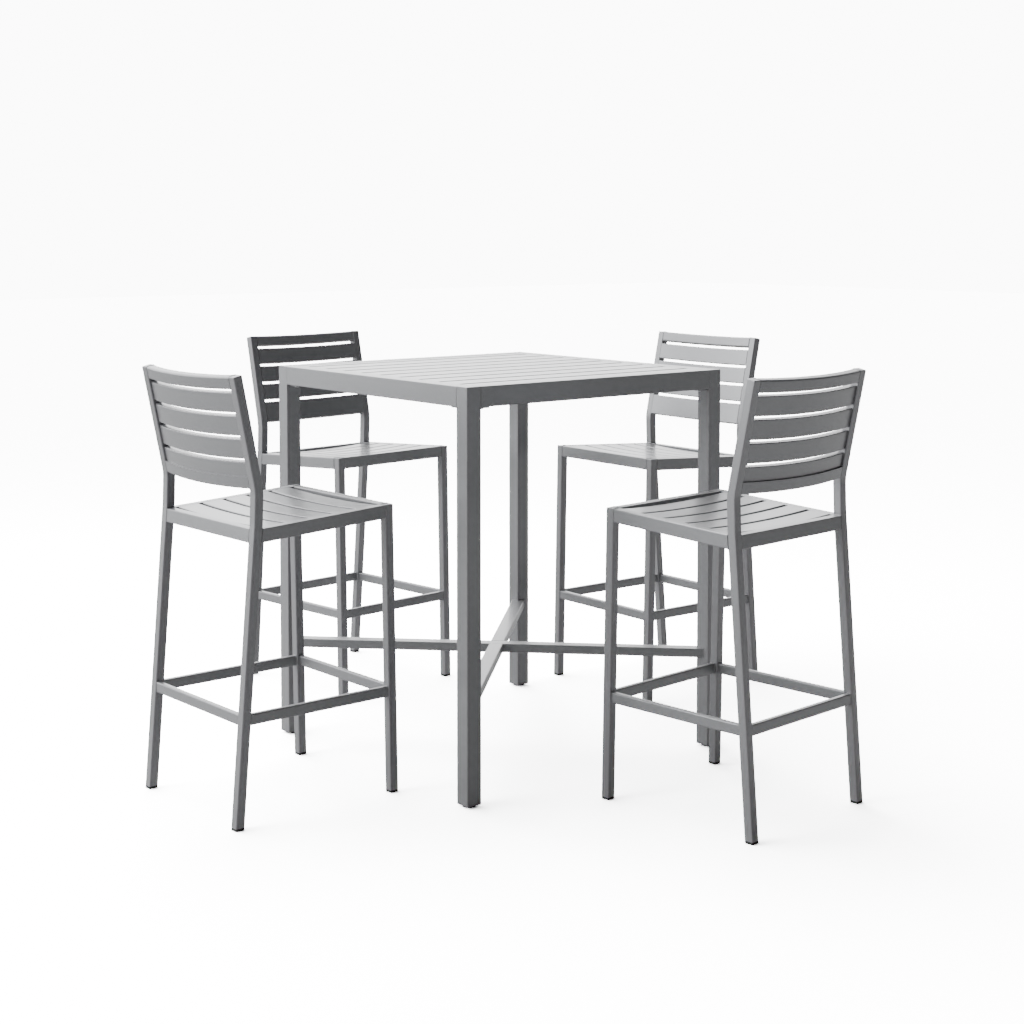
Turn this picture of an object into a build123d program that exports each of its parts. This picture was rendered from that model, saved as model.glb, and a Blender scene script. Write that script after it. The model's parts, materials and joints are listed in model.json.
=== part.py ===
from build123d import *
import os
from math import asin, cos, degrees, hypot, sin

# Bar-height patio set in powder-coated aluminium: a square slatted table and four slatted stools.
# Z is up, the floor is Z = 0 and the origin lies on the floor under the middle of the whole set.
# Each stool is drawn once, facing +X, and then set down at its four places around the table.

os.makedirs("parts", exist_ok=True)

# ---------------------------------------------------------------- table, mm
TABLE_X = -45.95
TABLE_Y = -32.4
TOP_SIZE = 900.0
TABLE_HEIGHT = 1075.0
POST = 45.0
POST_WALL = 2.0
APRON_HEIGHT = 53.0
TUBE_ROUND = 2.0
SLAT_PITCH = 90.0
SLAT_GAP = 14.0
SLAT_THICK = 14.0
SLAT_DROP = 0.6
SLAT_WALL = 1.6
SUPPORT = 25.0
SUPPORT_OUT = 150.0
BRACE_WIDTH = 40.0
BRACE_HEIGHT = 25.0
BRACE_TOP = 281.0
BRACE_ROUND = 3.0
PLATE_LENGTH = 160.0
PLATE_THICK = 4.0
SPIGOT = 60.0
SPIGOT_WALL = 4.0
SLIP = 0.3
TAB = 34.0
TAB_WIDTH = 25.0
TAB_THICK = 4.0
BOLT_RADIUS = 3.0
BOLT_HEAD_RADIUS = 5.5
BOLT_HEAD = 3.2
SCREW_RADIUS = 2.0
SCREW_HEAD_RADIUS = 4.5
GLIDE_HEIGHT = 5.0
GLIDE_RADIUS = 17.5
STEM_RADIUS = 4.0
STEM_LENGTH = 28.0
PLUG_FLANGE = 8.0
PLUG_STUB = 30.0
CORE_ROUND = 1.0
BLOCK_TOP_ROUND = 1.5
BLOCK_ROOF = 5.0
BOLT_SPARE = 6.0
SCREW_SPARE = 4.0
SCREW_HEAD = 2.6
HEX_RADIUS = 2.0
HEX_DEPTH = 2.0
TAP_PLAY = 0.05
SLAT_ROUND = 1.5
PLATE_INSET = 4.0
PLATE_ROUND = 4.0

# ---------------------------------------------------------------- stool, mm
HALF_WIDTH = 229.0
LEG = 25.0
LEG_WALL = 1.8
LEG_ROUND = 3.0
REAR_FOOT = (-267.8, 0.0)
REAR_SEAT = (-209.9, 737.0)
BEND_HEIGHT = 748.0
REAR_KNEE = (-206.4, 831.0)
REAR_TOP = (-265.4, 1113.7)
BEND_RADIUS = 120.0
FRONT_FOOT = (224.5, 0.0)
FRONT_SEAT = (209.9, 760.0)
RAIL_HEIGHT = 35.0
RAIL_INSET = 1.0
FOOT_CAP = 7.0
CAP_STUB = 18.0
BAR_TOP = 282.5
BAR_HEIGHT = 28.0
BAR_THICK = 15.0
BAR_INSET = 2.0
BAR_ROUND = 3.5
SEAT_SLATS = 5
SEAT_SLAT = 61.0
SEAT_PITCH = 72.0
SEAT_SLAT_THICK = 10.0
SEAT_SAG = 6.0
SEAT_DROP = 0.6
BACK_BOW = 22.0
BACK_SLAT_THICK = 19.0
BACK_SPANS = [(41.5, 91.5), (100.5, 150.5), (159.5, 209.5), (218.5, 283.0)]
TOP_RAIL = 32.5
BOTTOM_RAIL = (255.0, 284.0)
RAIL_DEPTH = 24.0
THIN_WALL = 1.5
TOP_RAIL_ROUND = 5.0
SEAT_ROUND = 2.5
BACK_ROUND = 2.0
POST_TOP_ROUND = 2.4
POST_ROOF = 3.0
LEG_TOP_ROUND = 2.0
RUN_OUT = 10.0
OVERLONG = 40.0

# Middle of each stool on the floor measured from the table's middle, and the way it faces.
STOOLS = {
    "stool_left_front": (-729.2, 5.5, 1.27),
    "stool_right_front": (124.9, -794.8, 95.59),
    "stool_left_back": (76.4, 858.2, -84.0),
    "stool_right_back": (821.2, 226.0, 179.22),
}
CORNERS = {"near": (-1, -1), "left": (-1, 1), "right": (1, -1), "far": (1, 1)}

# ---------------------------------------------------------------- derived
CORNER_OUT = (TOP_SIZE - POST) / 2
INSIDE = TOP_SIZE / 2 - POST
APRON_BOTTOM = TABLE_HEIGHT - APRON_HEIGHT
LEG_BOTTOM = GLIDE_HEIGHT + PLUG_FLANGE
SLAT_TOP = TABLE_HEIGHT - SLAT_DROP
SLAT_MIDDLE = SLAT_TOP - SLAT_THICK / 2
SUPPORT_MIDDLE = SLAT_TOP - SLAT_THICK - SUPPORT / 2
BRACE_MIDDLE = BRACE_TOP - BRACE_HEIGHT / 2
BRACE_BOTTOM = BRACE_TOP - BRACE_HEIGHT
CORE = POST - 2 * POST_WALL - 2 * SLIP
TAB_MIDDLE = POST / 2 + TAB / 2
TAB_BOTTOM = APRON_BOTTOM - TAB_THICK
LEG_INSIDE = HALF_WIDTH - LEG
LEG_MIDDLE = HALF_WIDTH - LEG / 2
REAR_SLOPE = (REAR_SEAT[0] - REAR_FOOT[0]) / REAR_SEAT[1]
REAR_BEND = (REAR_FOOT[0] + REAR_SLOPE * BEND_HEIGHT, BEND_HEIGHT)


def ring(width, depth, wall, rounding):
    """Draw a hollow rounded rectangle in the sketch that is open."""
    RectangleRounded(width, depth, rounding)
    RectangleRounded(width - 2 * wall, depth - 2 * wall, max(rounding - wall, 0.4), mode=Mode.SUBTRACT)


def line_through(first, second, shift=0.0):
    """A line in the side view, moved sideways to the right of its own direction."""
    run = second[0] - first[0]
    rise = second[1] - first[1]
    length = hypot(run, rise)
    return (first[0] + shift * rise / length, first[1] - shift * run / length, run / length, rise / length)


def meet(first, second):
    """Where two side-view lines cross."""
    cross = first[2] * second[3] - first[3] * second[2]
    along = ((second[0] - first[0]) * second[3] - (second[1] - first[1]) * second[2]) / cross
    return (first[0] + along * first[2], first[1] + along * first[3])


def four_sided(left, right, top, bottom):
    """Corners of the area between four side-view lines."""
    return [meet(left, top), meet(right, top), meet(right, bottom), meet(left, bottom)]


def bow_plane(centre, radial, along, radius, turn):
    """Section plane at the start of a bowed piece: X runs along the axis, Y points at the axis."""
    tilted = radial * cos(turn) - Vector(0, 1, 0) * sin(turn)
    return Plane(origin=centre + tilted * radius, x_dir=along, z_dir=along.cross(tilted * -1))


# ---------------------------------------------------------------- table legs and corner blocks
for corner, (sx, sy) in CORNERS.items():
    px = TABLE_X + sx * CORNER_OUT
    py = TABLE_Y + sy * CORNER_OUT

    # Extruded leg tube with a drilled tab welded on under each of the two frame tubes it carries.
    with BuildPart() as table_leg:
        with BuildSketch(Plane.XY.offset(LEG_BOTTOM)):
            with Locations((px, py)):
                ring(POST, POST, POST_WALL, TUBE_ROUND)
        extrude(amount=APRON_BOTTOM - LEG_BOTTOM)
        with BuildSketch(Plane.XY.offset(TAB_BOTTOM)):
            with Locations((px - sx * TAB_MIDDLE, py)):
                Rectangle(TAB, TAB_WIDTH)
                Circle(BOLT_RADIUS + SLIP, mode=Mode.SUBTRACT)
            with Locations((px, py - sy * TAB_MIDDLE)):
                Rectangle(TAB_WIDTH, TAB)
                Circle(BOLT_RADIUS + SLIP, mode=Mode.SUBTRACT)
        extrude(amount=TAB_THICK)
    table_leg.part.label = f"table_leg_{corner}"
    export_step(table_leg.part, f"parts/table_leg_{corner}.step")

    # Hollow cast corner with a spigot that drops into the leg.
    with BuildPart() as corner_block:
        with BuildSketch(Plane.XY.offset(APRON_BOTTOM)):
            with Locations((px, py)):
                RectangleRounded(POST, POST, TUBE_ROUND)
        extrude(amount=APRON_HEIGHT)
        fillet(corner_block.faces().sort_by(Axis.Z)[-1].edges(), BLOCK_TOP_ROUND)
        with BuildSketch(Plane.XY.offset(APRON_BOTTOM - SPIGOT)):
            with Locations((px, py)):
                RectangleRounded(CORE, CORE, CORE_ROUND)
        extrude(amount=SPIGOT)
        with BuildSketch(Plane.XY.offset(APRON_BOTTOM - SPIGOT)):
            with Locations((px, py)):
                RectangleRounded(CORE - 2 * SPIGOT_WALL, CORE - 2 * SPIGOT_WALL, CORE_ROUND)
        extrude(amount=SPIGOT + APRON_HEIGHT - BLOCK_ROOF, mode=Mode.SUBTRACT)
    corner_block.part.label = f"corner_block_{corner}"
    export_step(corner_block.part, f"parts/corner_block_{corner}.step")

    # Screw-in foot under the leg's end plug.
    with BuildPart() as levelling_glide:
        with BuildSketch(Plane.XY):
            with Locations((px, py)):
                Circle(GLIDE_RADIUS)
        extrude(amount=GLIDE_HEIGHT)
        chamfer(levelling_glide.edges().filter_by(GeomType.CIRCLE), 1.0)
        with BuildSketch(Plane.XY.offset(GLIDE_HEIGHT)):
            with Locations((px, py)):
                Circle(STEM_RADIUS)
        extrude(amount=STEM_LENGTH)
    levelling_glide.part.label = f"levelling_glide_{corner}"
    export_step(levelling_glide.part, f"parts/levelling_glide_{corner}.step")

# ---------------------------------------------------------------- bolts up through the tabs
BOLT_SPOTS = [
    (TABLE_X + sx * (CORNER_OUT - dx * TAB_MIDDLE), TABLE_Y + sy * (CORNER_OUT - dy * TAB_MIDDLE))
    for sx, sy in CORNERS.values()
    for dx, dy in ((1, 0), (0, 1))
]
with BuildPart() as leg_bolts:
    with BuildSketch(Plane.XY.offset(TAB_BOTTOM)):
        with Locations(BOLT_SPOTS):
            Circle(BOLT_RADIUS)
    extrude(amount=TAB_THICK + POST_WALL + BOLT_SPARE)
    with BuildSketch(Plane.XY.offset(TAB_BOTTOM - BOLT_HEAD)):
        with Locations(BOLT_SPOTS):
            Circle(BOLT_HEAD_RADIUS)
    extrude(amount=BOLT_HEAD)
    chamfer(leg_bolts.faces().sort_by(Axis.Z)[: len(BOLT_SPOTS)].edges(), 1.0)
    with BuildSketch(Plane.XY.offset(TAB_BOTTOM - BOLT_HEAD)):
        with Locations(BOLT_SPOTS):
            RegularPolygon(HEX_RADIUS, 6)
    extrude(amount=HEX_DEPTH, mode=Mode.SUBTRACT)
leg_bolts.part.label = "leg_bolts"
export_step(leg_bolts.part, "parts/leg_bolts.step")

# ---------------------------------------------------------------- end plugs, bored for the glides
with BuildPart() as leg_end_plugs:
    with BuildSketch(Plane.XY.offset(GLIDE_HEIGHT)):
        with Locations((TABLE_X, TABLE_Y)):
            with GridLocations(2 * CORNER_OUT, 2 * CORNER_OUT, 2, 2):
                RectangleRounded(POST, POST, TUBE_ROUND)
    extrude(amount=PLUG_FLANGE)
    chamfer(leg_end_plugs.faces().sort_by(Axis.Z)[:4].edges(), 1.6)
    with BuildSketch(Plane.XY.offset(LEG_BOTTOM)):
        with Locations((TABLE_X, TABLE_Y)):
            with GridLocations(2 * CORNER_OUT, 2 * CORNER_OUT, 2, 2):
                RectangleRounded(CORE, CORE, CORE_ROUND)
    extrude(amount=PLUG_STUB)
    with BuildSketch(Plane.XY.offset(GLIDE_HEIGHT)):
        with Locations((TABLE_X, TABLE_Y)):
            with GridLocations(2 * CORNER_OUT, 2 * CORNER_OUT, 2, 2):
                Circle(STEM_RADIUS + SLIP)
    extrude(amount=PLUG_FLANGE + PLUG_STUB, mode=Mode.SUBTRACT)
leg_end_plugs.part.label = "leg_end_plugs"
export_step(leg_end_plugs.part, "parts/leg_end_plugs.step")

# ---------------------------------------------------------------- frame tubes round the top
APRONS = {
    "left_front": (-1, 0),
    "right_back": (1, 0),
    "right_front": (0, -1),
    "left_back": (0, 1),
}
for side, (ax, ay) in APRONS.items():
    start = Vector(
        TABLE_X + ax * CORNER_OUT - abs(ay) * INSIDE,
        TABLE_Y + ay * CORNER_OUT - abs(ax) * INSIDE,
        TABLE_HEIGHT - APRON_HEIGHT / 2,
    )
    with BuildPart() as apron:
        with BuildSketch(Plane(origin=start, x_dir=(abs(ax), abs(ay), 0), z_dir=(abs(ay), abs(ax), 0))):
            ring(POST, APRON_HEIGHT, POST_WALL, TUBE_ROUND)
        extrude(amount=2 * INSIDE)
        with BuildSketch(Plane.XY.offset(APRON_BOTTOM)):
            with Locations(BOLT_SPOTS):
                Circle(BOLT_RADIUS + TAP_PLAY)
        extrude(amount=POST_WALL + 1, mode=Mode.SUBTRACT)
    apron.part.label = f"apron_{side}"
    export_step(apron.part, f"parts/apron_{side}.step")

# ---------------------------------------------------------------- top slats and their supports
FULL_SLATS = int(TOP_SIZE / SLAT_PITCH) - 2
SLAT_ENDS = Plane(origin=(TABLE_X - INSIDE, TABLE_Y, SLAT_MIDDLE), x_dir=(0, 1, 0), z_dir=(1, 0, 0))
SUPPORT_ENDS = Plane(origin=(TABLE_X, TABLE_Y - INSIDE, SUPPORT_MIDDLE), x_dir=(1, 0, 0), z_dir=(0, 1, 0))
with BuildPart() as table_slats:
    with BuildSketch(SLAT_ENDS):
        with GridLocations(SLAT_PITCH, 1, FULL_SLATS, 1):
            ring(SLAT_PITCH - SLAT_GAP, SLAT_THICK, SLAT_WALL, SLAT_ROUND)
    extrude(amount=2 * INSIDE)
table_slats.part.label = "table_slats"
export_step(table_slats.part, "parts/table_slats.step")

EDGE_INNER = FULL_SLATS / 2 * SLAT_PITCH + SLAT_GAP / 2
EDGE_SLAT = INSIDE - EDGE_INNER
with BuildPart() as edge_slats:
    with BuildSketch(SLAT_ENDS):
        with GridLocations(2 * INSIDE - EDGE_SLAT, 1, 2, 1):
            ring(EDGE_SLAT, SLAT_THICK, SLAT_WALL, SLAT_ROUND)
    extrude(amount=2 * INSIDE)
edge_slats.part.label = "edge_slats"
export_step(edge_slats.part, "parts/edge_slats.step")

with BuildPart() as slat_supports:
    with BuildSketch(SUPPORT_ENDS):
        with GridLocations(2 * SUPPORT_OUT, 1, 2, 1):
            ring(SUPPORT, SUPPORT, THIN_WALL, TUBE_ROUND)
    extrude(amount=2 * INSIDE)
slat_supports.part.label = "slat_supports"
export_step(slat_supports.part, "parts/slat_supports.step")

# ---------------------------------------------------------------- crossed brace low between the legs
DIAGONAL = CORNER_OUT * 2**0.5
LONG_WAY = Vector(1, -1, 0).normalized()
SHORT_WAY = Vector(1, 1, 0).normalized()
MIDDLE = Vector(TABLE_X, TABLE_Y, BRACE_MIDDLE)

with BuildPart() as brace_long:
    with BuildSketch(Plane(origin=MIDDLE - LONG_WAY * DIAGONAL, x_dir=SHORT_WAY, z_dir=LONG_WAY)):
        ring(BRACE_WIDTH, BRACE_HEIGHT, POST_WALL, BRACE_ROUND)
    extrude(amount=2 * DIAGONAL)
    with Locations((TABLE_X, TABLE_Y, BRACE_MIDDLE)):
        with GridLocations(2 * CORNER_OUT, 2 * CORNER_OUT, 2, 2):
            Box(POST, POST, POST, mode=Mode.SUBTRACT)
    with BuildSketch(Plane(origin=(TABLE_X, TABLE_Y, BRACE_BOTTOM))):
        Circle(SCREW_RADIUS + TAP_PLAY)
    extrude(amount=POST_WALL + 1, mode=Mode.SUBTRACT)
brace_long.part.label = "brace_long"
export_step(brace_long.part, "parts/brace_long.step")

SCREW_SPOTS = (-64.0, -38.0, 0.0, 38.0, 64.0)
for name, way in (("near", -1), ("far", 1)):
    outward = SHORT_WAY * way
    with BuildPart() as brace_short:
        with BuildSketch(Plane(origin=MIDDLE + outward * BRACE_WIDTH / 2, x_dir=LONG_WAY, z_dir=outward)):
            ring(BRACE_WIDTH, BRACE_HEIGHT, POST_WALL, BRACE_ROUND)
        extrude(amount=DIAGONAL - BRACE_WIDTH / 2)
        with Locations((TABLE_X, TABLE_Y, BRACE_MIDDLE)):
            with GridLocations(2 * CORNER_OUT, 2 * CORNER_OUT, 2, 2):
                Box(POST, POST, POST, mode=Mode.SUBTRACT)
        for spot in SCREW_SPOTS[3:]:
            with BuildSketch(Plane(origin=Vector(TABLE_X, TABLE_Y, BRACE_BOTTOM) + outward * spot)):
                Circle(SCREW_RADIUS + TAP_PLAY)
            extrude(amount=POST_WALL + 1, mode=Mode.SUBTRACT)
    brace_short.part.label = f"brace_short_{name}"
    export_step(brace_short.part, f"parts/brace_short_{name}.step")

PLATE_BOTTOM = BRACE_BOTTOM - PLATE_THICK
with BuildPart() as brace_plate:
    with BuildSketch(Plane(origin=(TABLE_X, TABLE_Y, PLATE_BOTTOM), x_dir=SHORT_WAY)):
        RectangleRounded(PLATE_LENGTH, BRACE_WIDTH - 2 * PLATE_INSET, PLATE_ROUND)
        with Locations([(spot, 0) for spot in SCREW_SPOTS]):
            Circle(SCREW_RADIUS + TAP_PLAY, mode=Mode.SUBTRACT)
    extrude(amount=PLATE_THICK)
brace_plate.part.label = "brace_plate"
export_step(brace_plate.part, "parts/brace_plate.step")

with BuildPart() as brace_screws:
    with BuildSketch(Plane(origin=(TABLE_X, TABLE_Y, PLATE_BOTTOM), x_dir=SHORT_WAY)):
        with Locations([(spot, 0) for spot in SCREW_SPOTS]):
            Circle(SCREW_RADIUS)
    extrude(amount=PLATE_THICK + POST_WALL + SCREW_SPARE)
    with BuildSketch(Plane(origin=(TABLE_X, TABLE_Y, PLATE_BOTTOM - SCREW_HEAD), x_dir=SHORT_WAY)):
        with Locations([(spot, 0) for spot in SCREW_SPOTS]):
            Circle(SCREW_HEAD_RADIUS)
    extrude(amount=SCREW_HEAD)
    chamfer(brace_screws.faces().sort_by(Axis.Z)[: len(SCREW_SPOTS)].edges(), 0.8)
brace_screws.part.label = "brace_screws"
export_step(brace_screws.part, "parts/brace_screws.step")

# ---------------------------------------------------------------- stool: side-view lines
REAR_LINE = line_through(REAR_FOOT, REAR_SEAT)
REAR_FRONT = line_through(REAR_FOOT, REAR_SEAT, LEG)
FRONT_LINE = line_through(FRONT_FOOT, FRONT_SEAT)
FRONT_REAR = line_through(FRONT_FOOT, FRONT_SEAT, -LEG)
SEAT_LINE = line_through(REAR_SEAT, FRONT_SEAT)
SEAT_UNDER = line_through(REAR_SEAT, FRONT_SEAT, RAIL_HEIGHT)
SEAT_WAY = Vector(SEAT_LINE[2], 0, SEAT_LINE[3])
SEAT_NORMAL = Vector(-SEAT_LINE[3], 0, SEAT_LINE[2])
REAR_WAY = Vector(REAR_LINE[2], 0, REAR_LINE[3])
REAR_NORMAL = Vector(REAR_LINE[3], 0, -REAR_LINE[2])
FRONT_WAY = Vector(FRONT_LINE[2], 0, FRONT_LINE[3])
FRONT_NORMAL = Vector(FRONT_LINE[3], 0, -FRONT_LINE[2])
POST_LINE = line_through(REAR_KNEE, REAR_TOP)
POST_WAY = Vector(POST_LINE[2], 0, POST_LINE[3])
POST_FORWARD = Vector(POST_LINE[3], 0, -POST_LINE[2])
REAR_START = Vector(REAR_FOOT[0], 0, 0) - REAR_WAY * RUN_OUT
FRONT_START = Vector(FRONT_FOOT[0], 0, 0) - FRONT_WAY * RUN_OUT
SIDES = (-1, 1)

# ---------------------------------------------------------------- rear legs, bent into the back posts
START_POINT = (REAR_START.X, REAR_START.Z)
with BuildPart() as rear_legs:
    with BuildLine(Plane.XZ) as whole:
        FilletPolyline(START_POINT, REAR_BEND, REAR_KNEE, REAR_TOP, radius=BEND_RADIUS)
    with BuildSketch(Plane(origin=REAR_START, x_dir=REAR_NORMAL, z_dir=REAR_WAY)):
        with Locations([(LEG / 2, side * LEG_MIDDLE) for side in SIDES]):
            RectangleRounded(LEG, LEG, LEG_ROUND)
    sweep(path=whole.wires()[0])
    fillet(rear_legs.faces().sort_by(Axis.Z)[-2:].edges(), POST_TOP_ROUND)
    hollow_end = Vector(REAR_TOP[0], 0, REAR_TOP[1]) - POST_WAY * POST_ROOF
    with BuildLine(Plane.XZ) as bore:
        bore_points = (START_POINT, REAR_BEND, REAR_KNEE, (hollow_end.X, hollow_end.Z))
        FilletPolyline(*bore_points, radius=BEND_RADIUS)
    with BuildSketch(Plane(origin=REAR_START, x_dir=REAR_NORMAL, z_dir=REAR_WAY)):
        with Locations([(LEG / 2, side * LEG_MIDDLE) for side in SIDES]):
            RectangleRounded(LEG - 2 * LEG_WALL, LEG - 2 * LEG_WALL, LEG_ROUND - LEG_WALL)
    sweep(path=bore.wires()[0], mode=Mode.SUBTRACT)
    split(bisect_by=Plane.XY.offset(FOOT_CAP), keep=Keep.TOP)

# ---------------------------------------------------------------- front legs, closed at seat level
SEAT_FRONT = Vector(FRONT_SEAT[0], 0, FRONT_SEAT[1])
with BuildPart() as front_legs:
    with BuildSketch(Plane(origin=FRONT_START, x_dir=FRONT_NORMAL, z_dir=FRONT_WAY)):
        with Locations([(-LEG / 2, side * LEG_MIDDLE) for side in SIDES]):
            RectangleRounded(LEG, LEG, LEG_ROUND)
    extrude(amount=FRONT_SEAT[1] + OVERLONG)
    split(bisect_by=Plane(origin=SEAT_FRONT, x_dir=SEAT_WAY, z_dir=SEAT_NORMAL), keep=Keep.BOTTOM)
    fillet(front_legs.faces().sort_by(Axis.Z)[-2:].edges(), LEG_TOP_ROUND)
    with BuildSketch(Plane(origin=FRONT_START, x_dir=FRONT_NORMAL, z_dir=FRONT_WAY)):
        with Locations([(-LEG / 2, side * LEG_MIDDLE) for side in SIDES]):
            RectangleRounded(LEG - 2 * LEG_WALL, LEG - 2 * LEG_WALL, LEG_ROUND - LEG_WALL)
    extrude(amount=FRONT_SEAT[1] + RUN_OUT / 2, mode=Mode.SUBTRACT)
    split(bisect_by=Plane.XY.offset(FOOT_CAP), keep=Keep.TOP)

# ---------------------------------------------------------------- four rails round the seat
SIDE_PLANES = [Plane(origin=(0, side * LEG_MIDDLE, 0), x_dir=(1, 0, 0), z_dir=(0, -1, 0)) for side in SIDES]
with BuildPart() as seat_frame:
    for side_plane in SIDE_PLANES:
        with BuildSketch(side_plane):
            Polygon(*four_sided(REAR_FRONT, FRONT_REAR, SEAT_LINE, SEAT_UNDER), align=None)
        extrude(amount=LEG / 2, both=True)
    fillet(seat_frame.edges().filter_by(Axis((0, 0, 0), SEAT_WAY)), SEAT_ROUND)
    for side_plane in SIDE_PLANES:
        with BuildSketch(side_plane):
            upper = line_through(REAR_SEAT, FRONT_SEAT, LEG_WALL)
            lower = line_through(REAR_SEAT, FRONT_SEAT, RAIL_HEIGHT - LEG_WALL)
            Polygon(*four_sided(REAR_FRONT, FRONT_REAR, upper, lower), align=None)
        extrude(amount=LEG / 2 - LEG_WALL, both=True, mode=Mode.SUBTRACT)
    for first, second, turn in ((REAR_FOOT, REAR_SEAT, 1), (FRONT_FOOT, FRONT_SEAT, -1)):
        outer = line_through(first, second, turn * RAIL_INSET)
        inner = line_through(first, second, turn * (LEG - RAIL_INSET))
        with BuildSketch(Plane.XZ) as cross_rail:
            Polygon(*four_sided(outer, inner, SEAT_LINE, SEAT_UNDER), align=None)
            fillet(cross_rail.vertices(), SEAT_ROUND)
            offset(amount=-LEG_WALL, kind=Kind.INTERSECTION, mode=Mode.SUBTRACT)
        extrude(amount=LEG_INSIDE, both=True)

# ---------------------------------------------------------------- dished seat slats
SEAT_CENTRE = (Vector(REAR_SEAT[0], 0, REAR_SEAT[1]) + SEAT_FRONT) * 0.5
SAG_RADIUS = (LEG_INSIDE**2 + SEAT_SAG**2) / (2 * SEAT_SAG)
SAG_TURN = asin((LEG_INSIDE + 5) / SAG_RADIUS)
SAG_AXIS = SEAT_CENTRE + SEAT_NORMAL * (SAG_RADIUS - SEAT_SAG - SEAT_DROP)
with BuildPart() as seat_slats:
    with BuildSketch(bow_plane(SAG_AXIS, SEAT_NORMAL * -1, SEAT_WAY, SAG_RADIUS, SAG_TURN)):
        with Locations((0, -SEAT_SLAT_THICK / 2)):
            with GridLocations(SEAT_PITCH, 1, SEAT_SLATS, 1):
                ring(SEAT_SLAT, SEAT_SLAT_THICK, THIN_WALL, SEAT_ROUND)
    revolve(axis=Axis(SAG_AXIS, SEAT_WAY), revolution_arc=2 * degrees(SAG_TURN))
    Box(2000, 2 * LEG_INSIDE, 4000, mode=Mode.INTERSECT)

# ---------------------------------------------------------------- bowed back, down from the post's top
BOW_RADIUS = (LEG_INSIDE**2 + BACK_BOW**2) / (2 * BACK_BOW)
BOW_TURN = asin((LEG_INSIDE + 5) / BOW_RADIUS)
BOW_AXIS = Vector(REAR_TOP[0], 0, REAR_TOP[1]) + POST_FORWARD * (LEG - BACK_BOW + BOW_RADIUS)
BACK_PLANE = bow_plane(BOW_AXIS, POST_FORWARD * -1, POST_WAY * -1, BOW_RADIUS, BOW_TURN)
with BuildPart() as back_slats:
    with BuildSketch(BACK_PLANE):
        for begin, end in BACK_SPANS:
            with Locations(((begin + end) / 2, -BACK_SLAT_THICK / 2)):
                ring(end - begin, BACK_SLAT_THICK, THIN_WALL, BACK_ROUND)
    revolve(axis=Axis(BOW_AXIS, POST_WAY * -1), revolution_arc=2 * degrees(BOW_TURN))
    Box(2000, 2 * LEG_INSIDE, 4000, mode=Mode.INTERSECT)

LOWER_DEPTH = RAIL_DEPTH - BACK_SLAT_THICK - SLIP
with BuildPart() as back_rails:
    with BuildSketch(BACK_PLANE):
        with Locations((TOP_RAIL / 2, -RAIL_DEPTH / 2)):
            ring(TOP_RAIL, RAIL_DEPTH, LEG_WALL, TOP_RAIL_ROUND)
        with Locations((sum(BOTTOM_RAIL) / 2, -RAIL_DEPTH + LOWER_DEPTH / 2)):
            Rectangle(BOTTOM_RAIL[1] - BOTTOM_RAIL[0], LOWER_DEPTH)
    revolve(axis=Axis(BOW_AXIS, POST_WAY * -1), revolution_arc=2 * degrees(BOW_TURN))
    Box(2000, 2 * LEG_INSIDE, 4000, mode=Mode.INTERSECT)

# ---------------------------------------------------------------- footrest bars between the legs
BAR_MIDDLE = BAR_TOP - BAR_HEIGHT / 2
LEVEL_TOP = (0.0, BAR_TOP, 1.0, 0.0)
LEVEL_BOTTOM = (0.0, BAR_TOP - BAR_HEIGHT, 1.0, 0.0)
LEVEL_MIDDLE = (0.0, BAR_MIDDLE, 1.0, 0.0)
REAR_BAR = meet(REAR_LINE, LEVEL_MIDDLE)[0] + BAR_INSET + BAR_THICK / 2
FRONT_BAR = meet(FRONT_LINE, LEVEL_MIDDLE)[0] - BAR_INSET - BAR_THICK / 2
with BuildPart() as footrest_bars:
    for side_plane in SIDE_PLANES:
        with BuildSketch(side_plane):
            Polygon(*four_sided(REAR_FRONT, FRONT_REAR, LEVEL_TOP, LEVEL_BOTTOM), align=None)
        extrude(amount=BAR_THICK / 2, both=True)
    fillet(footrest_bars.edges().filter_by(Axis.X), BAR_ROUND)
    for side_plane in SIDE_PLANES:
        with BuildSketch(side_plane):
            upper = (0.0, BAR_TOP - THIN_WALL, 1.0, 0.0)
            lower = (0.0, BAR_TOP - BAR_HEIGHT + THIN_WALL, 1.0, 0.0)
            Polygon(*four_sided(REAR_FRONT, FRONT_REAR, upper, lower), align=None)
        extrude(amount=BAR_THICK / 2 - THIN_WALL, both=True, mode=Mode.SUBTRACT)
    with BuildSketch(Plane(origin=(0, -LEG_INSIDE, BAR_MIDDLE), x_dir=(1, 0, 0), z_dir=(0, 1, 0))):
        with Locations((REAR_BAR, 0), (FRONT_BAR, 0)):
            ring(BAR_THICK, BAR_HEIGHT, THIN_WALL, BAR_ROUND)
    extrude(amount=2 * LEG_INSIDE)

# ---------------------------------------------------------------- foot caps
STUB = LEG - 2 * LEG_WALL - 2 * SLIP
FEET = [
    (REAR_FOOT[0] + LEG / 2 / REAR_WAY.Z, REAR_WAY),
    (FRONT_FOOT[0] - LEG / 2 / FRONT_WAY.Z, FRONT_WAY),
]
with BuildPart() as foot_caps:
    for middle, way in FEET:
        with BuildSketch(Plane.XY):
            with Locations([(middle, side * LEG_MIDDLE) for side in SIDES]):
                RectangleRounded(LEG, LEG, LEG_ROUND)
        extrude(amount=FOOT_CAP / way.Z, dir=way)
    chamfer(foot_caps.faces().sort_by(Axis.Z)[:4].edges(), 1.2)
    for middle, way in FEET:
        with BuildSketch(Plane.XY.offset(FOOT_CAP)):
            with Locations([(middle + FOOT_CAP * way.X / way.Z, side * LEG_MIDDLE) for side in SIDES]):
                RectangleRounded(STUB, STUB, CORE_ROUND)
        extrude(amount=CAP_STUB, dir=way)

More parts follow.
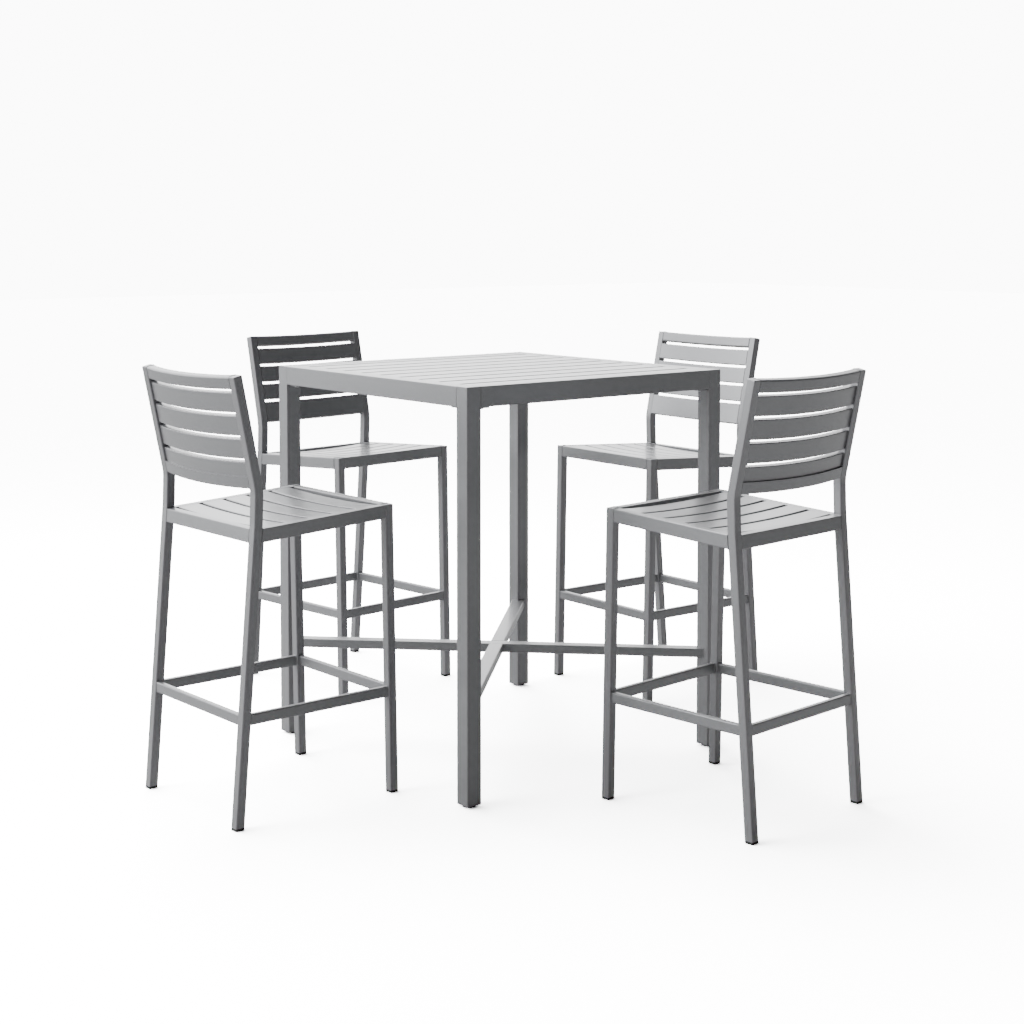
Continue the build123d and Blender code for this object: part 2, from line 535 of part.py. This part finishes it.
# ---------------------------------------------------------------- the four stools
PIECES = {
    "rear_legs": rear_legs,
    "front_legs": front_legs,
    "seat_frame": seat_frame,
    "seat_slats": seat_slats,
    "back_slats": back_slats,
    "back_rails": back_rails,
    "footrest_bars": footrest_bars,
    "foot_caps": foot_caps,
}
for stool, (dx, dy, facing) in STOOLS.items():
    for piece, master in PIECES.items():
        with BuildPart() as placed:
            with Locations(Location((TABLE_X + dx, TABLE_Y + dy, 0), (0, 0, facing))):
                add(master.part)
        placed.part.label = f"{stool}_{piece}"
        export_step(placed.part, f"parts/{stool}_{piece}.step")
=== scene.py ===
"""Bar-height patio set: powder-coated frame, slatted table top and four slatted stools.

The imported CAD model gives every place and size. This script turns its nodes into clean,
smooth-shaded pieces, lays weld beads where the tubes meet and gives each surface its finish.
"""

import json
import logging
import math
from dataclasses import dataclass, field
from enum import Enum

import bmesh
import bpy
from mathutils import Matrix, Vector

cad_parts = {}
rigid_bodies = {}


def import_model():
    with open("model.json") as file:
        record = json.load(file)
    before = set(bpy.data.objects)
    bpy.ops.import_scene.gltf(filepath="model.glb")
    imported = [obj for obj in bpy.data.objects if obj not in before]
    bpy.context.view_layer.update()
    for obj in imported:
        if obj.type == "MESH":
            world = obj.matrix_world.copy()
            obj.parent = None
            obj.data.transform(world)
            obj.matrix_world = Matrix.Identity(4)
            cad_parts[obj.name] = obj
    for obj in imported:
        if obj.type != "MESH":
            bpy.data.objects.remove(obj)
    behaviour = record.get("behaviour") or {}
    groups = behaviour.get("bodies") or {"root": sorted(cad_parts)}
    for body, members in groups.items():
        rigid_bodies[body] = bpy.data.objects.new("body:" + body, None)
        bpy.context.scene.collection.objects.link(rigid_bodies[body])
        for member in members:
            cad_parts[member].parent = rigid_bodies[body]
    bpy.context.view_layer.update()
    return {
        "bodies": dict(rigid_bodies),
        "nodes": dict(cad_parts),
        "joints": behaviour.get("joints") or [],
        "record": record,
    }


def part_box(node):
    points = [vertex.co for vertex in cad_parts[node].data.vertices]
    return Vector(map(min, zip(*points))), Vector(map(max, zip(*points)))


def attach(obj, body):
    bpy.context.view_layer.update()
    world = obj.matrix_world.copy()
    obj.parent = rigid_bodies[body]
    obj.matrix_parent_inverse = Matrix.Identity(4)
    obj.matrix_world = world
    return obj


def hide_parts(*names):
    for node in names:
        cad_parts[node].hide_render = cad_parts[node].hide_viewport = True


LOG = logging.getLogger("patio_set")
CORNERS = ("near", "left", "right", "far")
SIDES = ("left_front", "right_front", "left_back", "right_back")
GRAIN_RATIO = 4.7
DUST_FACING = 0.7


class Slot(Enum):
    """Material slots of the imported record."""

    FRAME = "powder_coat_frame"
    SLATS = "powder_coat_slats"
    GLIDE = "glide_plastic"
    FASTENER = "fastener_steel"


# ---------------------------------------------------------------- shader groups


class SurfaceGroups:
    """Shader node groups that several finishes share, each built once."""

    def __init__(self) -> None:
        """Build the groups."""
        self.cloud = self._cloud()
        self.peel = self._peel()
        self.dust = self._dust()

    @staticmethod
    def _group(
        name: str, inputs: dict[str, float], outputs: dict[str, str]
    ) -> tuple[bpy.types.NodeTree, bpy.types.Node, bpy.types.Node]:
        """Start a shader group with float inputs.

        Args:
            name: Name of the group.
            inputs: Default value of each float input.
            outputs: Socket type of each output.

        Returns:
            The group with its input and output nodes.
        """
        group = bpy.data.node_groups.new(name, "ShaderNodeTree")
        for label, value in inputs.items():
            socket = group.interface.new_socket(label, in_out="INPUT", socket_type="NodeSocketFloat")
            socket.default_value = value
        for label, kind in outputs.items():
            group.interface.new_socket(label, in_out="OUTPUT", socket_type=kind)
        entry = group.nodes.new("NodeGroupInput")
        leave = group.nodes.new("NodeGroupOutput")
        return group, entry, leave

    @classmethod
    def _cloud(cls) -> bpy.types.NodeTree:
        """Slow drift of tone, as a coat of uneven thickness has.

        Returns:
            The group, with a value around 1 on its output.
        """
        group, entry, leave = cls._group(
            "Coat Cloud", {"Scale": 6.0, "Spread": 0.05}, {"Factor": "NodeSocketFloat"}
        )
        nodes, links = group.nodes, group.links
        place = nodes.new("ShaderNodeTexCoord")
        noise = nodes.new("ShaderNodeTexNoise")
        noise.inputs["Detail"].default_value = 4.0
        noise.inputs["Roughness"].default_value = 0.55
        centred = nodes.new("ShaderNodeMath")
        centred.operation = "SUBTRACT"
        centred.inputs[1].default_value = 0.5
        spread = nodes.new("ShaderNodeMath")
        spread.operation = "MULTIPLY"
        total = nodes.new("ShaderNodeMath")
        total.operation = "ADD"
        total.inputs[1].default_value = 1.0
        links.new(place.outputs["Object"], noise.inputs["Vector"])
        links.new(entry.outputs["Scale"], noise.inputs["Scale"])
        links.new(noise.outputs["Fac"], centred.inputs[0])
        links.new(centred.outputs[0], spread.inputs[0])
        links.new(entry.outputs["Spread"], spread.inputs[1])
        links.new(spread.outputs[0], total.inputs[0])
        links.new(total.outputs[0], leave.inputs["Factor"])
        return group

    @classmethod
    def _peel(cls) -> bpy.types.NodeTree:
        """Orange peel of a baked powder coat: broad soft dimples with a fine grain on them.

        Returns:
            The group, with a height on its output.
        """
        group, entry, leave = cls._group(
            "Orange Peel", {"Scale": 420.0, "Grain": 0.25}, {"Height": "NodeSocketFloat"}
        )
        nodes, links = group.nodes, group.links
        place = nodes.new("ShaderNodeTexCoord")
        dimples = nodes.new("ShaderNodeTexNoise")
        dimples.inputs["Detail"].default_value = 1.0
        finer = nodes.new("ShaderNodeMath")
        finer.operation = "MULTIPLY"
        finer.inputs[1].default_value = GRAIN_RATIO
        grain = nodes.new("ShaderNodeTexNoise")
        grain.inputs["Detail"].default_value = 2.0
        weighed = nodes.new("ShaderNodeMath")
        weighed.operation = "MULTIPLY"
        total = nodes.new("ShaderNodeMath")
        total.operation = "ADD"
        for noise in (dimples, grain):
            links.new(place.outputs["Object"], noise.inputs["Vector"])
        links.new(entry.outputs["Scale"], dimples.inputs["Scale"])
        links.new(entry.outputs["Scale"], finer.inputs[0])
        links.new(finer.outputs[0], grain.inputs["Scale"])
        links.new(grain.outputs["Fac"], weighed.inputs[0])
        links.new(entry.outputs["Grain"], weighed.inputs[1])
        links.new(dimples.outputs["Fac"], total.inputs[0])
        links.new(weighed.outputs[0], total.inputs[1])
        links.new(total.outputs[0], leave.inputs["Height"])
        return group

    @classmethod
    def _dust(cls) -> bpy.types.NodeTree:
        """Faint dust that settles on what faces up, broken up by noise.

        Returns:
            The group, with a mask on its output.
        """
        group, entry, leave = cls._group(
            "Settled Dust", {"Amount": 0.08, "Scale": 24.0}, {"Mask": "NodeSocketFloat"}
        )
        nodes, links = group.nodes, group.links
        place = nodes.new("ShaderNodeTexCoord")
        shape = nodes.new("ShaderNodeNewGeometry")
        split = nodes.new("ShaderNodeSeparateXYZ")
        facing = nodes.new("ShaderNodeMapRange")
        facing.inputs["From Min"].default_value = DUST_FACING
        noise = nodes.new("ShaderNodeTexNoise")
        noise.inputs["Detail"].default_value = 6.0
        both = nodes.new("ShaderNodeMath")
        both.operation = "MULTIPLY"
        scaled = nodes.new("ShaderNodeMath")
        scaled.operation = "MULTIPLY"
        links.new(place.outputs["Object"], noise.inputs["Vector"])
        links.new(entry.outputs["Scale"], noise.inputs["Scale"])
        links.new(shape.outputs["Normal"], split.inputs[0])
        links.new(split.outputs["Z"], facing.inputs["Value"])
        links.new(facing.outputs[0], both.inputs[0])
        links.new(noise.outputs["Fac"], both.inputs[1])
        links.new(both.outputs[0], scaled.inputs[0])
        links.new(entry.outputs["Amount"], scaled.inputs[1])
        links.new(scaled.outputs[0], leave.inputs["Mask"])
        return group


# ---------------------------------------------------------------- finishes


@dataclass(frozen=True)
class Finish:
    """A coated, moulded or plated surface.

    The spreads are shares of a value, the scales are per metre and the depth is in metres.
    """

    name: str
    slot: Slot
    colour: tuple[float, float, float]
    metallic: float
    roughness: float
    rough_spread: float
    tone_spread: float
    tone_scale: float
    peel_scale: float
    peel_grain: float
    peel_depth: float
    dust: float = 0.0
    coat: float = 0.0
    coat_roughness: float = 0.18
    dust_colour: tuple[float, float, float] = (0.62, 0.60, 0.57)
    patch_ratio: float = 7.0
    bump_strength: float = 0.6

    def build(self, groups: SurfaceGroups) -> bpy.types.Material:
        """Make the material.

        Args:
            groups: The shared shader groups.

        Returns:
            The finished material.
        """
        material = bpy.data.materials.new(self.name)
        material.use_nodes = True
        tree = material.node_tree
        nodes, links = tree.nodes, tree.links
        shader = nodes["Principled BSDF"]
        shader.inputs["Metallic"].default_value = self.metallic
        shader.inputs["Coat Weight"].default_value = self.coat
        shader.inputs["Coat Roughness"].default_value = self.coat_roughness

        cloud = self._use(tree, groups.cloud, Scale=self.tone_scale, Spread=self.tone_spread)
        tint = nodes.new("ShaderNodeVectorMath")
        tint.operation = "SCALE"
        tint.inputs[0].default_value = self.colour
        links.new(cloud.outputs["Factor"], tint.inputs["Scale"])
        dust = self._use(tree, groups.dust, Amount=self.dust)
        mixed = nodes.new("ShaderNodeMix")
        mixed.data_type = "RGBA"
        mixed.inputs["B"].default_value = (*self.dust_colour, 1.0)
        links.new(dust.outputs["Mask"], mixed.inputs["Factor"])
        links.new(tint.outputs["Vector"], mixed.inputs["A"])
        links.new(mixed.outputs["Result"], shader.inputs["Base Color"])

        patch_scale = self.tone_scale * self.patch_ratio
        patchy = self._use(tree, groups.cloud, Scale=patch_scale, Spread=self.rough_spread)
        rough = nodes.new("ShaderNodeMath")
        rough.operation = "MULTIPLY"
        rough.inputs[1].default_value = self.roughness
        links.new(patchy.outputs["Factor"], rough.inputs[0])
        links.new(rough.outputs[0], shader.inputs["Roughness"])

        peel = self._use(tree, groups.peel, Scale=self.peel_scale, Grain=self.peel_grain)
        bump = nodes.new("ShaderNodeBump")
        bump.inputs["Strength"].default_value = self.bump_strength
        bump.inputs["Distance"].default_value = self.peel_depth
        links.new(peel.outputs["Height"], bump.inputs["Height"])
        links.new(bump.outputs["Normal"], shader.inputs["Normal"])
        return material

    @staticmethod
    def _use(tree: bpy.types.NodeTree, group: bpy.types.NodeTree, **values: float) -> bpy.types.Node:
        """Place a shared group in a material.

        Args:
            tree: The material's node tree.
            group: The shared group.
            **values: Values of the group's inputs.

        Returns:
            The placed node.
        """
        node = tree.nodes.new("ShaderNodeGroup")
        node.node_tree = group
        for label, value in values.items():
            node.inputs[label].default_value = value
        return node


COAT_COLOUR = (0.212, 0.216, 0.226)
FINISHES = (
    Finish(
        name="Powder Coat Frame",
        slot=Slot.FRAME,
        colour=COAT_COLOUR,
        metallic=0.45,
        roughness=0.38,
        rough_spread=0.12,
        tone_spread=0.06,
        tone_scale=5.0,
        peel_scale=420.0,
        peel_grain=0.25,
        peel_depth=0.00012,
        dust=0.02,
        coat=0.3,
    ),
    Finish(
        name="Powder Coat Slats",
        slot=Slot.SLATS,
        colour=COAT_COLOUR,
        metallic=0.45,
        roughness=0.34,
        rough_spread=0.14,
        tone_spread=0.07,
        tone_scale=4.0,
        peel_scale=420.0,
        peel_grain=0.25,
        peel_depth=0.00012,
        dust=0.02,
        coat=0.4,
    ),
    Finish(
        name="Glide Plastic",
        slot=Slot.GLIDE,
        colour=(0.022, 0.022, 0.024),
        metallic=0.0,
        roughness=0.55,
        rough_spread=0.15,
        tone_spread=0.15,
        tone_scale=30.0,
        peel_scale=1500.0,
        peel_grain=0.6,
        peel_depth=0.00008,
        dust=0.05,
    ),
    Finish(
        name="Fastener Steel",
        slot=Slot.FASTENER,
        colour=(0.56, 0.56, 0.57),
        metallic=1.0,
        roughness=0.32,
        rough_spread=0.2,
        tone_spread=0.05,
        tone_scale=40.0,
        peel_scale=900.0,
        peel_grain=0.3,
        peel_depth=0.00003,
    ),
)


# ---------------------------------------------------------------- making pieces


@dataclass
class Workshop:
    """Turns CAD nodes into finished pieces and keeps the materials."""

    frame: dict
    materials: dict[Slot, bpy.types.Material]
    hard_angle: float = math.radians(52.0)
    merge_distance: float = 1e-6
    made: list[str] = field(default_factory=list)

    def slot_of(self, node: str) -> Slot:
        """Find the material slot that the record gives a node.

        Args:
            node: Name of the CAD node.

        Returns:
            The slot.
        """
        for subpart in self.frame["record"]["subparts"]:
            if subpart["node"] == node:
                return Slot(subpart["material_slot"])
        raise KeyError(node)

    def body_of(self, node: str) -> str:
        """Find the body that the record puts a node on.

        Args:
            node: Name of the CAD node.

        Returns:
            Name of the body.
        """
        for body, nodes in self.frame["record"]["behaviour"]["bodies"].items():
            if node in nodes:
                return body
        raise KeyError(node)

    def merged(self, node: str) -> bmesh.types.BMesh:
        """A merged copy of a CAD node, in the row frame.

        Args:
            node: Name of the CAD node.

        Returns:
            The bmesh, which the caller frees.
        """
        copy = bmesh.new()
        copy.from_mesh(self.frame["nodes"][node].data)
        bmesh.ops.remove_doubles(copy, verts=copy.verts, dist=self.merge_distance)
        return copy

    def finish_piece(self, shape: bmesh.types.BMesh, name: str, slot: Slot, body: str) -> bpy.types.Object:
        """Make an object of a shape, smooth its rounded edges and put it on its body.

        Args:
            shape: The shape in the row frame. It is freed.
            name: Name of the piece.
            slot: Its material slot.
            body: The CAD body it moves with.

        Returns:
            The object.
        """
        for face in shape.faces:
            face.smooth = True
        for edge in shape.edges:
            edge.smooth = len(edge.link_faces) == 2 and edge.calc_face_angle(0.0) < self.hard_angle
        mesh = bpy.data.meshes.new(name)
        shape.to_mesh(mesh)
        shape.free()
        mesh.materials.append(self.materials[slot])
        piece = bpy.data.objects.new(name, mesh)
        bpy.context.collection.objects.link(piece)
        weighted = piece.modifiers.new("Even shading", "WEIGHTED_NORMAL")
        weighted.keep_sharp = True
        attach(piece, body)
        self.made.append(name)
        return piece

    def dress(self, node: str) -> bpy.types.Object:
        """Replace a CAD node with a smooth-shaded copy in its finish.

        Args:
            node: Name of the CAD node.

        Returns:
            The piece that stands for the node.
        """
        slot, body = self.slot_of(node), self.body_of(node)
        piece = self.finish_piece(self.merged(node), f"{node}_finished", slot, body)
        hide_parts(node)
        return piece


@dataclass
class WeldBeads:
    """Beads round the ends of tubes, where they meet another tube. Lengths are in metres."""

    radius: float = 0.0013
    resolution: int = 3
    end_depth: float = 0.042
    axis_zone: float = 0.03
    square_on: float = 0.6

    def seams(self, shape: bmesh.types.BMesh) -> list[list[Vector]]:
        """Outline of each tube end in a node, as closed rings of points.

        Args:
            shape: A merged node, one loose island for each tube.

        Returns:
            One ring of points for each end.
        """
        shape.normal_update()
        rings = []
        for island in self._islands(shape):
            centre = sum((vert.co for vert in island), Vector()) / len(island)
            axis = self._long_axis(island, centre)
            reach = max((vert.co - centre).dot(axis) for vert in island)
            for way in (axis, -axis):
                ring = self._end_ring(island, centre, way, reach)
                if ring:
                    rings.append(ring)
        return rings

    @staticmethod
    def _islands(shape: bmesh.types.BMesh) -> list[list[bmesh.types.BMVert]]:
        """Split a shape into its loose parts.

        Args:
            shape: The merged shape.

        Returns:
            The vertices of each loose part.
        """
        left = set(shape.verts)
        islands = []
        while left:
            stack = [left.pop()]
            island = []
            while stack:
                vert = stack.pop()
                island.append(vert)
                for edge in vert.link_edges:
                    other = edge.other_vert(vert)
                    if other in left:
                        left.remove(other)
                        stack.append(other)
            islands.append(island)
        return islands

    def _long_axis(self, island: list[bmesh.types.BMVert], centre: Vector) -> Vector:
        """Find the way a loose part runs.

        Args:
            island: Vertices of the part.
            centre: Middle of the part.

        Returns:
            The unit vector from the middle to the farther end.
        """
        farthest = max(island, key=lambda vert: (vert.co - centre).length)
        first = (farthest.co - centre).normalized()
        ends = [vert.co - centre for vert in island if (vert.co - centre).dot(first) > 0]
        limit = max(end.dot(first) for end in ends) - self.axis_zone
        near_end = [end for end in ends if end.dot(first) > limit]
        return (sum(near_end, Vector()) / len(near_end)).normalized()

    def _end_ring(
        self, island: list[bmesh.types.BMVert], centre: Vector, way: Vector, reach: float
    ) -> list[Vector]:
        """Outer outline of one end of a tube.

        Args:
            island: Vertices of the tube.
            centre: Middle of the tube.
            way: Unit vector from the middle to this end.
            reach: How far the tube goes along it.

        Returns:
            The ring's points in order, or an empty list where the end has no flat face.
        """
        end = [
            face
            for face in {face for vert in island for face in vert.link_faces}
            if face.normal.dot(way) > self.square_on
            and (face.calc_center_median() - centre).dot(way) > reach - self.end_depth
        ]
        if not end:
            return []
        inside = set(end)
        rim = [
            edge
            for face in end
            for edge in face.edges
            if sum(other in inside for other in edge.link_faces) == 1
        ]
        middle = sum((face.calc_center_median() for face in end), Vector()) / len(end)
        outer = []
        for edge in rim:
            wall = next((face for face in edge.link_faces if face not in inside), None)
            if wall is None:
                continue
            spot = (edge.verts[0].co + edge.verts[1].co) / 2 - middle
            if wall.normal.dot(spot) > 0:
                outer.append(edge)
        return self._chain(outer)

    @staticmethod
    def _chain(edges: list[bmesh.types.BMEdge]) -> list[Vector]:
        """Put the points of a closed ring of edges in order.

        Args:
            edges: The ring's edges in any order.

        Returns:
            The points, or an empty list where the edges don't close.
        """
        if not edges:
            return []
        pool = set(edges)
        edge = pool.pop()
        start, vert = edge.verts
        points = [start.co.copy(), vert.co.copy()]
        while vert is not start:
            edge = next((other for other in vert.link_edges if other in pool), None)
            if edge is None:
                return []
            pool.remove(edge)
            vert = edge.other_vert(vert)
            if vert is not start:
                points.append(vert.co.copy())
        return points

    def lay(self, workshop: Workshop, name: str, nodes: list[str]) -> bpy.types.Object:
        """Lay a round bead along every tube end of some nodes.

        Args:
            workshop: Makes the finished piece.
            name: Name of the piece that holds the beads.
            nodes: CAD nodes whose ends are welded.

        Returns:
            The piece.
        """
        curve = bpy.data.curves.new(name, "CURVE")
        curve.dimensions = "3D"
        curve.bevel_depth = self.radius
        curve.bevel_resolution = self.resolution
        for node in nodes:
            shape = workshop.merged(node)
            for ring in self.seams(shape):
                spline = curve.splines.new("POLY")
                spline.points.add(len(ring) - 1)
                for point, spot in zip(spline.points, ring):
                    point.co = (*spot, 1.0)
                spline.use_cyclic_u = True
            shape.free()
        holder = bpy.data.objects.new(f"{name}_line", curve)
        bpy.context.collection.objects.link(holder)
        bead = bmesh.new()
        bead.from_mesh(holder.to_mesh())
        holder.to_mesh_clear()
        bpy.data.objects.remove(holder)
        bmesh.ops.recalc_face_normals(bead, faces=bead.faces)
        return workshop.finish_piece(bead, name, Slot.FRAME, workshop.body_of(nodes[0]))


# ---------------------------------------------------------------- sub-assemblies


@dataclass
class Table:
    """Square slatted bar table with bolted legs and a crossed brace."""

    workshop: Workshop
    beads: WeldBeads = field(default_factory=lambda: WeldBeads(radius=0.0014))

    def build(self) -> None:
        """Dress the top, the legs and the brace, and weld what is welded."""
        self._dress_legs()
        self._dress_top()
        self._dress_brace()

    def _dress_legs(self) -> None:
        """Legs, corner blocks, bolts, plugs and glides."""
        for corner in CORNERS:
            for part in ("table_leg", "corner_block", "levelling_glide"):
                self.workshop.dress(f"{part}_{corner}")
        self.workshop.dress("leg_bolts")
        self.workshop.dress("leg_end_plugs")

    def _dress_top(self) -> None:
        """Frame tubes, slats and the supports under them."""
        for side in SIDES:
            self.workshop.dress(f"apron_{side}")
        for node in ("table_slats", "edge_slats", "slat_supports"):
            self.workshop.dress(node)
        self.beads.lay(self.workshop, "support_weld_beads", ["slat_supports"])

    def _dress_brace(self) -> None:
        """Three brace tubes, the plate under their crossing and its screws."""
        tubes = ["brace_long", "brace_short_near", "brace_short_far"]
        for node in (*tubes, "brace_plate", "brace_screws"):
            self.workshop.dress(node)
        self.beads.lay(self.workshop, "brace_weld_beads", tubes)


@dataclass
class Stool:
    """One slatted bar stool."""

    workshop: Workshop
    name: str
    beads: WeldBeads = field(default_factory=WeldBeads)

    def build(self) -> None:
        """Dress the stool's pieces and lay its weld beads."""
        pieces = (
            "rear_legs",
            "front_legs",
            "seat_frame",
            "seat_slats",
            "back_slats",
            "back_rails",
            "footrest_bars",
            "foot_caps",
        )
        for piece in pieces:
            self.workshop.dress(f"{self.name}_{piece}")
        welded = [f"{self.name}_{piece}" for piece in ("footrest_bars", "seat_frame", "back_rails")]
        self.beads.lay(self.workshop, f"{self.name}_weld_beads", welded)


@dataclass(frozen=True)
class SoftLamp:
    """A square soft lamp. Places are from the table's middle, in metres."""

    name: str
    spot: Vector
    aim: Vector
    size: float
    power: float


LAMPS = (
    SoftLamp("overhead_softbox", Vector((0.0, 1.6, 4.2)), Vector((0.0, 0.0, 0.4)), size=3.2, power=190.0),
    SoftLamp("side_softbox", Vector((-4.6, 1.4, 2.4)), Vector((0.0, 0.0, 0.6)), size=2.4, power=120.0),
)


@dataclass
class Studio:
    """White floor, soft light and the camera."""

    table_centre: Vector
    camera_from_table: tuple[float, float, float] = (-3.1402, -3.9785, 1.4791)
    camera_yaw: float = math.radians(38.78)
    camera_dip: float = 0.049
    lens: float = 62.455
    shift_y: float = -0.1943
    floor_size: float = 60.0
    floor_seen: float = 7.4
    floor_lit: float = 0.4
    sky_seen: float = 11.0
    bright_side: tuple[float, float, float] = (-0.20, 1.0, 0.12)
    front_wall: float = 0.08
    back_wall: float = 4.6
    glow_start: float = -0.15
    glow_full: float = 0.85
    sensor: float = 36.0
    view_depth: float = 200.0

    def build(self) -> None:
        """Set up floor, lights, sky and camera."""
        self._floor()
        self._lights()
        self._camera()

    def _floor(self) -> None:
        """A wide pale floor."""
        sheet = bmesh.new()
        bmesh.ops.create_grid(sheet, x_segments=1, y_segments=1, size=self.floor_size / 2)
        mesh = bpy.data.meshes.new("studio_floor")
        sheet.to_mesh(mesh)
        sheet.free()
        material = bpy.data.materials.new("Studio Floor")
        material.use_nodes = True
        nodes, links = material.node_tree.nodes, material.node_tree.links
        shader = nodes["Principled BSDF"]
        shader.inputs["Roughness"].default_value = 0.9
        shader.inputs["Specular IOR Level"].default_value = 0.0
        brightness = self._seen_or_lit(material.node_tree, self.floor_seen, self.floor_lit)
        links.new(brightness.outputs["Result"], shader.inputs["Base Color"])
        mesh.materials.append(material)
        floor = bpy.data.objects.new("studio_floor", mesh)
        bpy.context.collection.objects.link(floor)

    def _lights(self) -> None:
        """Studio walls with a large soft lamp overhead and another from the left."""
        world = bpy.data.worlds.new("Studio Sky")
        bpy.context.scene.world = world
        world.use_nodes = True
        tree = world.node_tree
        sky = tree.nodes["Background"]
        sky.inputs["Color"].default_value = (1.0, 1.0, 1.0, 1.0)
        seen = self._seen_or_lit(tree, self.sky_seen, 0.0)
        tree.links.new(seen.outputs["Result"], sky.inputs["Strength"])
        tree.links.new(self._wall_glow(tree), seen.inputs["To Min"])
        for lamp in LAMPS:
            self._hang(lamp)

    def _wall_glow(self, tree: bpy.types.NodeTree) -> bpy.types.NodeSocket:
        """Light of the studio walls: bright behind the set, dim at the front.

        Args:
            tree: The world's node tree.

        Returns:
            The socket with the brightness in each direction.
        """
        place = tree.nodes.new("ShaderNodeTexCoord")
        toward = tree.nodes.new("ShaderNodeVectorMath")
        toward.operation = "DOT_PRODUCT"
        toward.inputs[1].default_value = Vector(self.bright_side).normalized()
        glow = tree.nodes.new("ShaderNodeMapRange")
        glow.interpolation_type = "SMOOTHSTEP"
        glow.inputs["From Min"].default_value = self.glow_start
        glow.inputs["From Max"].default_value = self.glow_full
        glow.inputs["To Min"].default_value = self.front_wall
        glow.inputs["To Max"].default_value = self.back_wall
        tree.links.new(place.outputs["Generated"], toward.inputs[0])
        tree.links.new(toward.outputs["Value"], glow.inputs["Value"])
        return glow.outputs["Result"]

    @staticmethod
    def _seen_or_lit(tree: bpy.types.NodeTree, seen: float, lit: float) -> bpy.types.Node:
        """A brightness for what the lens sees directly and another for the light it throws.

        Args:
            tree: Node tree of the floor's material or of the world.
            seen: Brightness in direct view.
            lit: Brightness as a source of light on the set.

        Returns:
            The node whose result is the brightness.
        """
        ray = tree.nodes.new("ShaderNodeLightPath")
        pick = tree.nodes.new("ShaderNodeMapRange")
        pick.inputs["To Min"].default_value = lit
        pick.inputs["To Max"].default_value = seen
        tree.links.new(ray.outputs["Is Camera Ray"], pick.inputs["Value"])
        return pick

    def _hang(self, lamp: SoftLamp) -> None:
        """Hang a lamp over the set.

        Args:
            lamp: The lamp.
        """
        light = bpy.data.lights.new(lamp.name, "AREA")
        light.shape = "SQUARE"
        light.size = lamp.size
        light.energy = lamp.power
        hung = bpy.data.objects.new(lamp.name, light)
        turn = (lamp.aim - lamp.spot).to_track_quat("-Z", "Y").to_matrix().to_4x4()
        hung.matrix_world = Matrix.Translation(self.table_centre + lamp.spot) @ turn
        bpy.context.collection.objects.link(hung)

    def _camera(self) -> None:
        """The camera, standing off the table's near corner."""
        data = bpy.data.cameras.new("camera")
        data.lens = self.lens
        data.sensor_width = self.sensor
        data.shift_y = self.shift_y
        data.clip_end = self.view_depth
        camera = bpy.data.objects.new("camera", data)
        camera.location = self.table_centre + Vector(self.camera_from_table)
        camera.rotation_euler = (math.pi / 2 - self.camera_dip, 0.0, -self.camera_yaw)
        bpy.context.collection.objects.link(camera)
        bpy.context.scene.camera = camera


def middle_of(nodes: list[str]) -> Vector:
    """Middle in plan of some CAD nodes, at floor level.

    Args:
        nodes: Names of the nodes.

    Returns:
        The point on the floor.
    """
    boxes = [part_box(node) for node in nodes]
    low = [min(box[0][axis] for box in boxes) for axis in range(2)]
    high = [max(box[1][axis] for box in boxes) for axis in range(2)]
    return Vector(((low[0] + high[0]) / 2, (low[1] + high[1]) / 2, 0.0))


def main() -> None:
    """Build the set and its studio."""
    logging.basicConfig(level=logging.INFO)
    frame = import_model()
    groups = SurfaceGroups()
    materials = {finish.slot: finish.build(groups) for finish in FINISHES}
    workshop = Workshop(frame, materials)
    Table(workshop).build()
    for side in SIDES:
        Stool(workshop, f"stool_{side}").build()
    for name in workshop.made:
        LOG.info("made %s", name)
    Studio(middle_of([f"table_leg_{corner}" for corner in CORNERS])).build()


if __name__ == "__main__":
    main()
